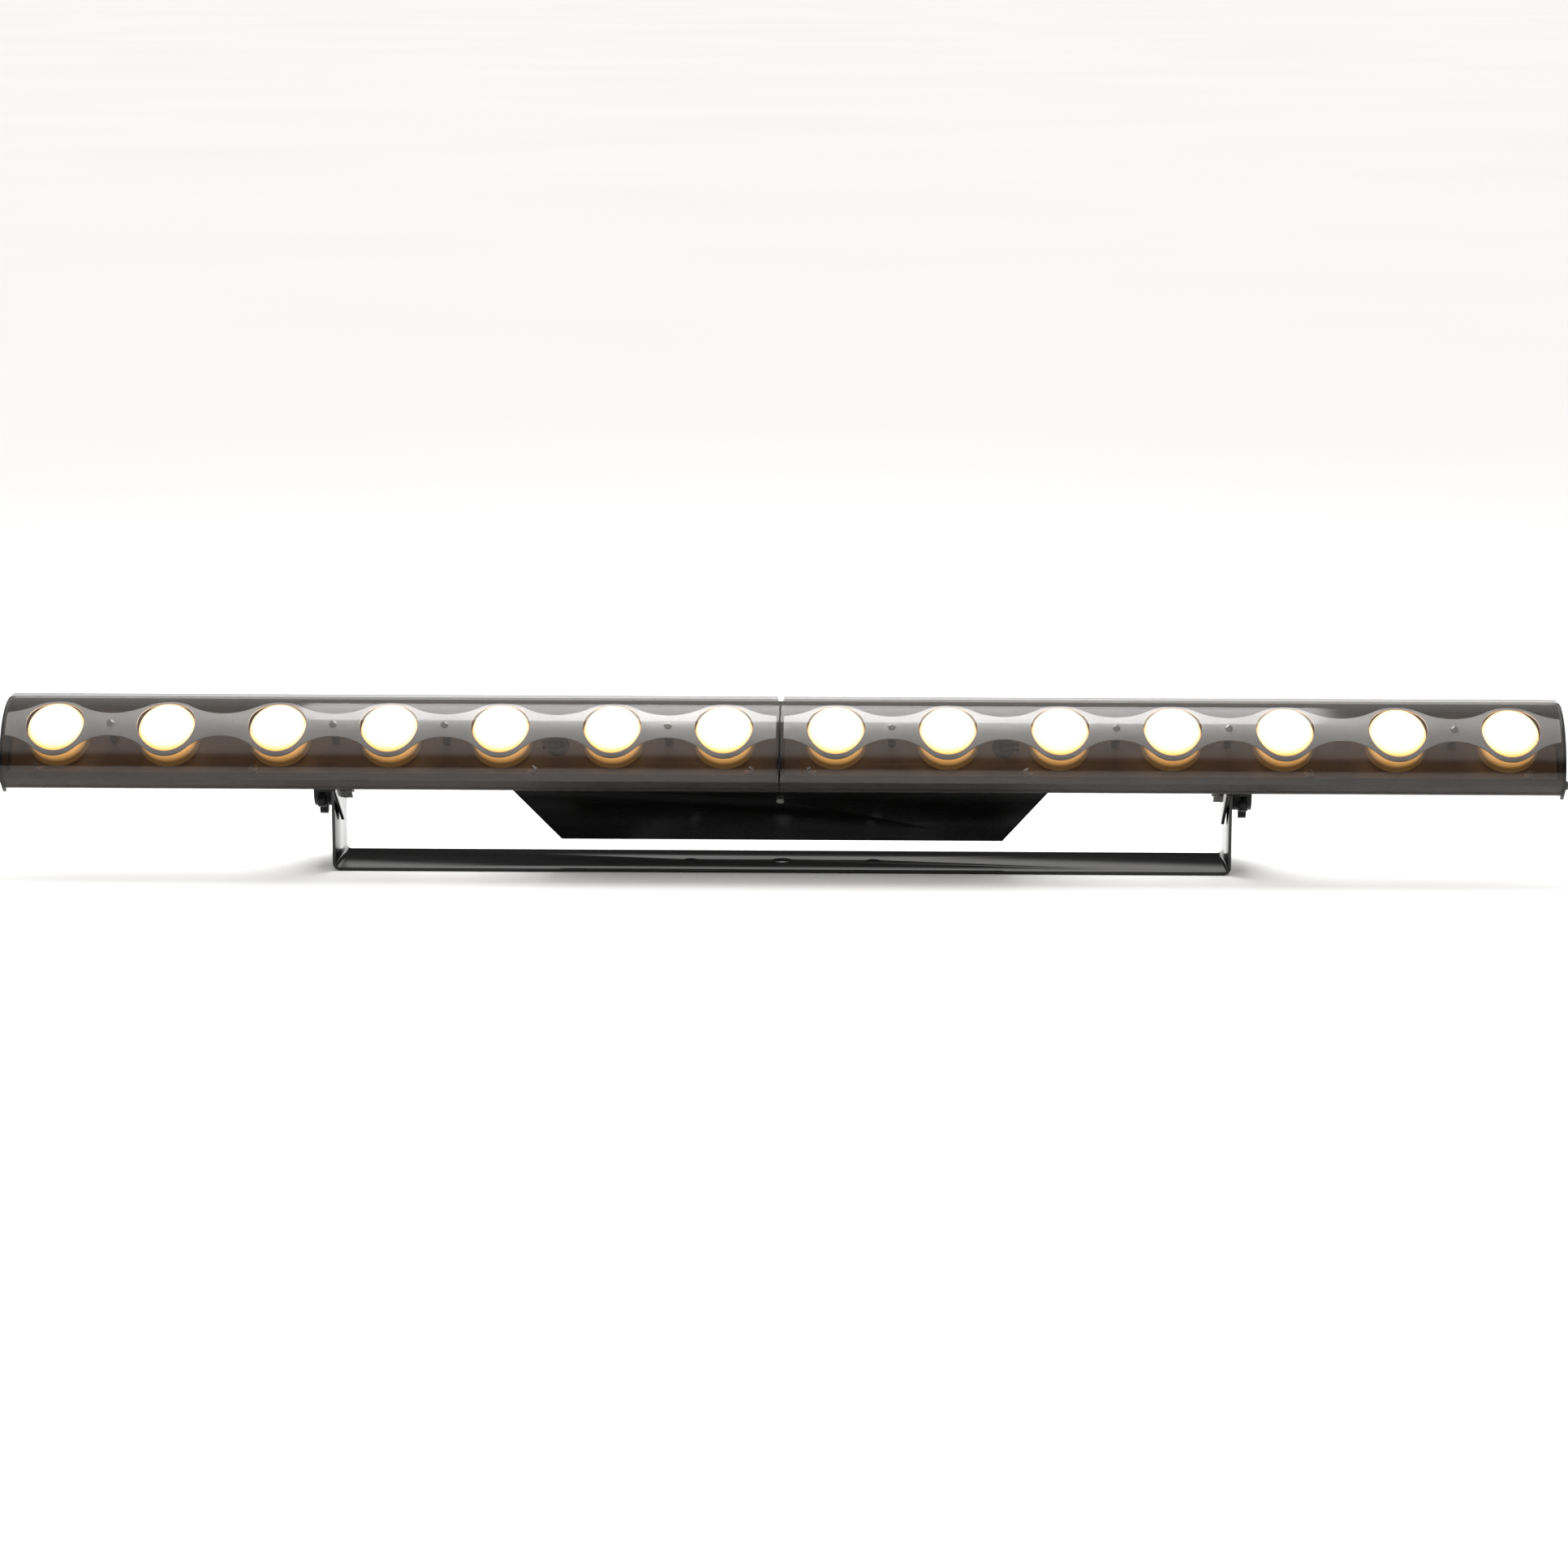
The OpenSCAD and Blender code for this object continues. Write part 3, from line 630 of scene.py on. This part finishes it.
class BATTEN_OT_lenses(bpy.types.Operator):
    """Makes the row of lit lenses"""

    bl_idname = "batten.lenses"
    bl_label = "Lenses"

    def execute(self, context):
        look = finish_settings()
        spots = islands("lenses")
        half = spots[0][1]
        radius = half.x + 0.0001
        foot = -half.z
        apex = half.z
        rim = apex - LENS_DOME_HEIGHT
        mesh = lens_mesh(radius, foot, rim, apex, shape_settings().lens_ridges)
        mesh.transform(BAR.to_3x3().to_4x4())
        places = [BAR @ spot for spot, _ in spots]
        finish = lit_lens("lit lens", tuple(look.hot), tuple(look.gold), look.glow)
        row = copies("lens_row", mesh, places, finish)
        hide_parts("lenses")
        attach(row, "bar")
        paint(["emitters"], phosphor("phosphor", (1.0, 0.72, 0.28), 6.0))
        return {"FINISHED"}


class BATTEN_OT_screws(bpy.types.Operator):
    """Makes the pan-head screws on the boards, the trim band and the back panel"""

    bl_idname = "batten.screws"
    bl_label = "Screws"

    def execute(self, context):
        dark = metal("burnished screw", (0.26, 0.22, 0.19), 0.25, 0.4, 700.0)
        zinc = metal("zinc plate", (0.62, 0.61, 0.58), 0.22, 0.38, 700.0)
        black = coated_steel("black oxide", (0.02, 0.02, 0.02), 0.3, 0.45, 0.05)
        sets = (
            ("board_screws", 1.0, (0.0033, 0.0018, 0.0015, 0.0034), dark, "zinc"),
            ("band_screws", 1.0, (0.0025, 0.0009, 0.0011, 0.006), zinc, "zinc"),
            ("panel_screws", -1.0, (0.0026, 0.0015, 0.0014, 0.005), zinc, "zinc"),
            ("connector_screws", -1.0, (0.0023, 0.0013, 0.0014, 0.0055), black, "steel_black"),
        )
        for node, way, sizes, finish, slot in sets:
            mesh = screw_mesh(*sizes)
            turn = BAR.to_3x3().to_4x4()
            if way < 0:
                turn = turn @ Matrix.Rotation(math.pi, 4, "X")
            mesh.transform(turn)
            lift = (sizes[3] - sizes[1]) / 2 * way
            places = [BAR @ (spot + Vector((0.0, 0.0, lift))) for spot, _ in islands(node)]
            piece = copies("turned_" + node, mesh, places, finish)
            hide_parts(node)
            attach(piece, "bar")
        paint(["box_side_screws", "box_foot_screws", "ear_nuts", "knob_washers",
               "stud_left", "stud_right", "fuse_link", "safety_eye"], zinc)
        paint(["end_plate_screws", "ear_screws", "safety_eye_screws"], black)
        return {"FINISHED"}


class BATTEN_OT_yoke(bpy.types.Operator):
    """Makes the yoke, ears, end plates and knobs with eased edges"""

    bl_idname = "batten.yoke"
    bl_label = "Yoke and knobs"

    def execute(self, context):
        look = finish_settings()
        shape = shape_settings()
        coat = coated_steel("powder coat", tuple(look.powder), 0.13, 0.2, 0.05, 0.4)
        grip = moulded("knob plastic", (0.010, 0.010, 0.010), 0.38, 0.5)
        for node, body, width, finish, slot in (
            ("yoke", "yoke", shape.yoke_edge, coat, "powder_black"),
            ("ear_left", "bar", shape.yoke_edge, coat, "powder_black"),
            ("ear_right", "bar", shape.yoke_edge, coat, "powder_black"),
            ("end_plate_left", "bar", shape.yoke_edge, coat, "powder_black"),
            ("end_plate_right", "bar", shape.yoke_edge, coat, "powder_black"),
            ("knob_left", "knob_left", shape.knob_edge, grip, "plastic_black"),
            ("knob_right", "knob_right", shape.knob_edge, grip, "plastic_black"),
        ):
            piece = eased(node, "eased_" + node, width, finish)
            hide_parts(node)
            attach(piece, body)
        paint(["friction_washers"], moulded("fibre", (0.03, 0.026, 0.022), 0.6, 0.75, 0.5, 900.0))
        return {"FINISHED"}


class BATTEN_OT_shell(bpy.types.Operator):
    """Finishes the housing, the smoked covers and the power box"""

    bl_idname = "batten.shell"
    bl_label = "Housing, covers and box"

    def execute(self, context):
        look = finish_settings()
        paint(["housing"], anodised("anodised black", (0.020, 0.019, 0.018)))
        paint(["cover_left", "cover_right"],
              smoked_cover("smoked cover", tuple(look.smoke), look.smoke_alpha, COVER_INDEX))
        gloss = coated_steel("box paint", tuple(look.box), 0.2, 0.32, 0.04, 0.08)
        for node in ("power_box", "back_panel"):
            piece = eased(node, "eased_" + node, shape_settings().box_edge, gloss)
            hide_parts(node)
            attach(piece, "bar")
        return {"FINISHED"}


class BATTEN_OT_optics(bpy.types.Operator):
    """Finishes the boards, holders, posts, divider and trim band"""

    bl_idname = "batten.optics"
    bl_label = "Boards and trim"

    def execute(self, context):
        look = finish_settings()
        # The boards' mask and track colours are a dark warm brown; the brown is painted golden
        # light from the lenses falling on the boards.
        paint(["led_board_left", "led_board_right"],
              circuit("board mask with painted glow", (0.10, 0.062, 0.040), (0.13, 0.080, 0.050), 40.0))
        # The holders' gold emission is painted lens-light spill.
        paint(["lens_holders"], painted_spill_holder("holder painted spill glow", tuple(look.gold), look.painted_holder_spill))
        paint(["centre_divider", "band_posts"],
              moulded("black plastic", (0.012, 0.012, 0.012), 0.4, 0.55))
        paint(["trim_band_left", "trim_band_right"],
              metal("band metal", tuple(look.band), 0.42, 0.55, 800.0, (0.03, 1.0, 1.0)))
        return {"FINISHED"}


class BATTEN_OT_controls(bpy.types.Operator):
    """Finishes the sockets, buttons, display, fuse and inner parts of the box"""

    bl_idname = "batten.controls"
    bl_label = "Sockets and controls"

    def execute(self, context):
        black = moulded("socket black", (0.015, 0.015, 0.015), 0.38, 0.5)
        grey = moulded("socket grey", (0.17, 0.17, 0.17), 0.42, 0.55)
        cast = metal("nickel casting", (0.5, 0.49, 0.47), 0.3, 0.45, 300.0)
        green = circuit("green board", (0.01, 0.09, 0.035), (0.02, 0.16, 0.06), 120.0)
        paint(["signal_latch", "fuse_holder", "fuse_cap", "display_module"], black)
        paint(["power_outlet", "button_menu", "button_down", "button_up", "button_enter"], grey)
        paint(["power_inlet"], moulded("socket blue", (0.012, 0.075, 0.26), 0.4, 0.52))
        paint(["signal_inlet", "signal_outlet", "power_supply"], cast)
        paint(["control_board", "supply_terminals"], green)
        paint(["display_window"], tinted_window("red window", (0.10, 0.004, 0.004)))
        paint(["feed_grommets"], moulded("grommet rubber", (0.014, 0.014, 0.014), 0.65, 0.8, 0.4))
        paint(["mains_wiring"], moulded("black wire", (0.012, 0.012, 0.012), 0.3, 0.42, 0.08))
        paint(["board_wiring"], moulded("lead", (0.02, 0.012, 0.01), 0.3, 0.42, 0.08))
        paint(["signal_wiring"], moulded("grey wire", (0.20, 0.20, 0.20), 0.3, 0.42, 0.08))
        return {"FINISHED"}


def area_light(name, place, aim, size, power):
    data = bpy.data.lights.new(name, "AREA")
    data.shape = "RECTANGLE"
    data.size = size[0]
    data.size_y = size[1]
    data.energy = power
    lamp = bpy.data.objects.new(name, data)
    lamp.location = place
    lamp.rotation_euler = (Vector(aim) - Vector(place)).to_track_quat("-Z", "Y").to_euler()
    bpy.context.scene.collection.objects.link(lamp)
    return lamp


def dim_horizon(tree, strength):
    """A pale dome that is dark near the horizon, as a studio's walls are."""
    coords = tree.nodes.new("ShaderNodeTexCoord")
    split = tree.nodes.new("ShaderNodeSeparateXYZ")
    ramp = tree.nodes.new("ShaderNodeMapRange")
    back = tree.nodes["Background"]
    ramp.interpolation_type = "SMOOTHSTEP"
    ramp.inputs["From Min"].default_value = HORIZON_FROM
    ramp.inputs["From Max"].default_value = HORIZON_TO
    ramp.inputs["To Min"].default_value = HORIZON_STRENGTH
    ramp.inputs["To Max"].default_value = strength
    tree.links.new(coords.outputs["Generated"], split.inputs["Vector"])
    tree.links.new(split.outputs["Z"], ramp.inputs["Value"])
    tree.links.new(ramp.outputs["Result"], back.inputs["Strength"])
    back.inputs["Color"].default_value = (1.0, 0.99, 0.97, 1.0)


class BATTEN_OT_stage(bpy.types.Operator):
    """Sets up the pale floor, the softbox, the dome and the camera"""

    bl_idname = "batten.stage"
    bl_label = "Studio"

    def execute(self, context):
        studio = context.scene.batten_studio
        floor = bpy.data.meshes.new("floor")
        floor_z = CAD_BOX[0][2] - FLOOR_GAP
        corners = [(x * FLOOR_REACH, y * FLOOR_REACH, floor_z)
                   for x, y in ((-1, -1), (1, -1), (1, 1), (-1, 1))]
        floor.from_pydata(corners, [], [(0, 1, 2, 3)])
        f = Finish("pale floor")
        tone = f.noise(0.8, 2.0)
        f.color(f.ramp(tone, [(0.3, (0.90, 0.90, 0.90)), (0.7, (0.92, 0.92, 0.92))]))
        f.set(Roughness=0.8, Specular_IOR_Level=0.1)
        only_material(floor, f.material)
        new_object("floor", floor)
        world = bpy.data.worlds.new("studio")
        world.use_nodes = True
        dim_horizon(world.node_tree, studio.dome)
        context.scene.world = world
        context.scene.view_settings.view_transform = "Standard"
        area_light("softbox", SOFTBOX_PLACE, SOFTBOX_AIM, SOFTBOX_SIZE, studio.softbox)
        rise = studio.height
        away = studio.distance
        data = bpy.data.cameras.new("camera")
        data.sensor_fit = "HORIZONTAL"
        data.angle = 2 * math.atan(studio.width / 2 / away)
        data.clip_end = CAMERA_REACH
        camera = bpy.data.objects.new("camera", data)
        place = Vector((
            studio.aside,
            CAMERA_TARGET.y - away * math.cos(rise),
            CAMERA_TARGET.z + away * math.sin(rise),
        ))
        camera.location = place
        camera.rotation_euler = (CAMERA_TARGET - place).to_track_quat("-Z", "Y").to_euler()
        context.scene.collection.objects.link(camera)
        context.scene.camera = camera
        return {"FINISHED"}


STEPS = (
    BATTEN_OT_shell,
    BATTEN_OT_optics,
    BATTEN_OT_lenses,
    BATTEN_OT_screws,
    BATTEN_OT_yoke,
    BATTEN_OT_controls,
    BATTEN_OT_stage,
)


class BATTEN_PT_panel(bpy.types.Panel):
    """Lists the settings and the steps"""

    bl_label = "Batten"
    bl_space_type = "VIEW_3D"
    bl_region_type = "UI"
    bl_category = "Batten"

    def draw(self, context):
        layout = self.layout
        for name, group in PROPERTY_GROUPS:
            settings = getattr(context.scene, name)
            column = layout.box().column()
            for key in group.__annotations__:
                column.prop(settings, key)
        for step in STEPS:
            layout.operator(step.bl_idname)


CLASSES = tuple(group for _, group in PROPERTY_GROUPS) + STEPS + (BATTEN_PT_panel,)


def register():
    for cls in CLASSES:
        bpy.utils.register_class(cls)
    for name, group in PROPERTY_GROUPS:
        setattr(bpy.types.Scene, name, bpy.props.PointerProperty(type=group))


def unregister():
    for name, _ in PROPERTY_GROUPS:
        delattr(bpy.types.Scene, name)
    for cls in reversed(CLASSES):
        bpy.utils.unregister_class(cls)


def main():
    register()
    bpy.ops.batten.shell()
    bpy.ops.batten.optics()
    bpy.ops.batten.lenses()
    bpy.ops.batten.screws()
    bpy.ops.batten.yoke()
    bpy.ops.batten.controls()
    bpy.ops.batten.stage()


if __name__ == "__main__":
    main()
